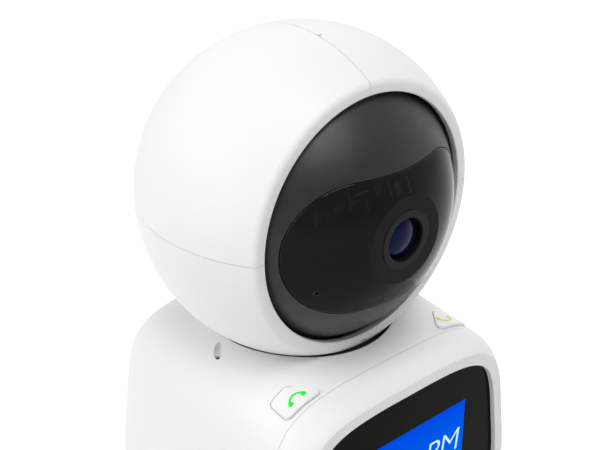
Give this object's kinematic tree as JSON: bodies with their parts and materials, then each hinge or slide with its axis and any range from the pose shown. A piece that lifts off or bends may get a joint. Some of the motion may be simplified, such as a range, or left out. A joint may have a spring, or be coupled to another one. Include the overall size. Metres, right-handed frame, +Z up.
{
  "type": "pan and tilt video call camera",
  "caption": "Indoor camera with a ball head that pans and an eye that tilts inside it, on a rounded base with a front screen and two call buttons.",
  "frame": {"origin": "on the surface that the camera stands on, under the pan axis", "axes": "+Z up along the pan axis, -Y out of the screen and the lens, +X to the right of a person facing along +Y; the tilt axis is parallel to X at z = 0.102 m"},
  "size_m": [0.0802, 0.0784, 0.142],
  "materials": {
    "white_shell": "satin moulded white plastic",
    "button_white": "satin moulded white plastic",
    "eye_black": "fine matt black",
    "window_black": "polished infrared-pass black",
    "screen_glass": "black printed cover glass, polished",
    "ring_grey": "satin dark grey",
    "lens_coated": "coated lens, blue violet sheen",
    "dark_plastic": "matt black",
    "answer_green": "printed green",
    "hang_up_amber": "printed amber",
    "inner_plastic": "moulded dark grey",
    "gear_plastic": "natural acetal",
    "board_green": "green solder mask",
    "chip_black": "moulded epoxy",
    "metal_can": "plated sheet steel",
    "brass": "turned brass",
    "screw_steel": "zinc plated steel",
    "foot_rubber": "soft black rubber"
  },
  "bodies": {
    "base": {"rear_housing": "white_shell", "front_frame": "white_shell", "screen_glass": "screen_glass", "lcd_panel": "metal_can", "display_bracket": "inner_plastic", "display_screws": "screw_steel", "main_board": "board_green", "board_chips": "chip_black", "wifi_module": "metal_can", "power_board": "board_green", "usb_socket": "metal_can", "memory_card_slot": "metal_can", "speaker": "dark_plastic", "speaker_gasket": "foot_rubber", "pan_motor": "metal_can", "pan_motor_bracket": "inner_plastic", "collar_ring": "dark_plastic", "bottom_cover": "white_shell", "tripod_insert": "brass", "rubber_feet": "foot_rubber", "base_screws": "screw_steel", "button_switch_left": "chip_black", "button_switch_right": "chip_black"},
    "head": {"upper_shell_left": "white_shell", "upper_shell_right": "white_shell", "lower_shell": "white_shell", "pivot_bush_left": "gear_plastic", "pivot_bush_right": "gear_plastic", "tilt_motor": "metal_can", "tilt_motor_bracket": "inner_plastic", "bracket_screws": "screw_steel", "pan_turntable": "inner_plastic", "pan_gear": "gear_plastic", "pan_gear_screws": "screw_steel"},
    "eye": {"eye_shell": "eye_black", "face_window": "window_black", "lens_ring": "ring_grey", "lens_barrel": "dark_plastic", "lens_glass": "lens_coated", "lens_holder": "dark_plastic", "image_board": "board_green", "infrared_leds": "chip_black", "eye_microphone": "dark_plastic", "trunnion_left": "gear_plastic", "trunnion_right": "gear_plastic", "tilt_gear": "gear_plastic"},
    "pan_pinion": {"pan_pinion": "gear_plastic"},
    "tilt_pinion": {"tilt_pinion": "gear_plastic"},
    "call_button_left": {"call_button_left": "button_white", "call_mark_left": "answer_green"},
    "call_button_right": {"call_button_right": "button_white", "call_mark_right": "hang_up_amber"},
    "reset_button": {"reset_button": "dark_plastic"}
  },
  "joints": [
    {"name": "pan", "type": "hinge", "parent": "base", "child": "head", "pos_m": [0, 0, 0.058], "axis": [0, 0, 1], "range_deg": [-175, 175]},
    {"name": "tilt", "type": "hinge", "parent": "head", "child": "eye", "pos_m": [0, 0, 0.102], "axis": [-1, 0, 0], "range_deg": [-30, 45]},
    {"name": "pan_pinion_spin", "type": "hinge", "parent": "base", "child": "pan_pinion", "pos_m": [-0.02156, 0, 0.055], "axis": [0, 0, 1], "range_deg": [-905, 905]},
    {"name": "tilt_pinion_spin", "type": "hinge", "parent": "head", "child": "tilt_pinion", "pos_m": [0.024, 0.02088, 0.09925], "axis": [-1, 0, 0], "range_deg": [-275, 185]},
    {"name": "answer_key", "type": "slide", "parent": "base", "child": "call_button_left", "axis": [0, 0, -1], "range_m": [0, 0.0006], "stiffness_N_per_m": 2500, "springref_m": -0.0002},
    {"name": "hang_up_key", "type": "slide", "parent": "base", "child": "call_button_right", "axis": [0, 0, -1], "range_m": [0, 0.0006], "stiffness_N_per_m": 2500, "springref_m": -0.0002},
    {"name": "reset_key", "type": "slide", "parent": "base", "child": "reset_button", "axis": [0, 0, -1], "range_m": [0, 0.0004], "stiffness_N_per_m": 1500, "springref_m": -0.0002}
  ],
  "couplings": [
    {"joint": "pan_pinion_spin", "follows": "pan", "ratio": -5.1429},
    {"joint": "tilt_pinion_spin", "follows": "tilt", "ratio": -6}
  ]
}
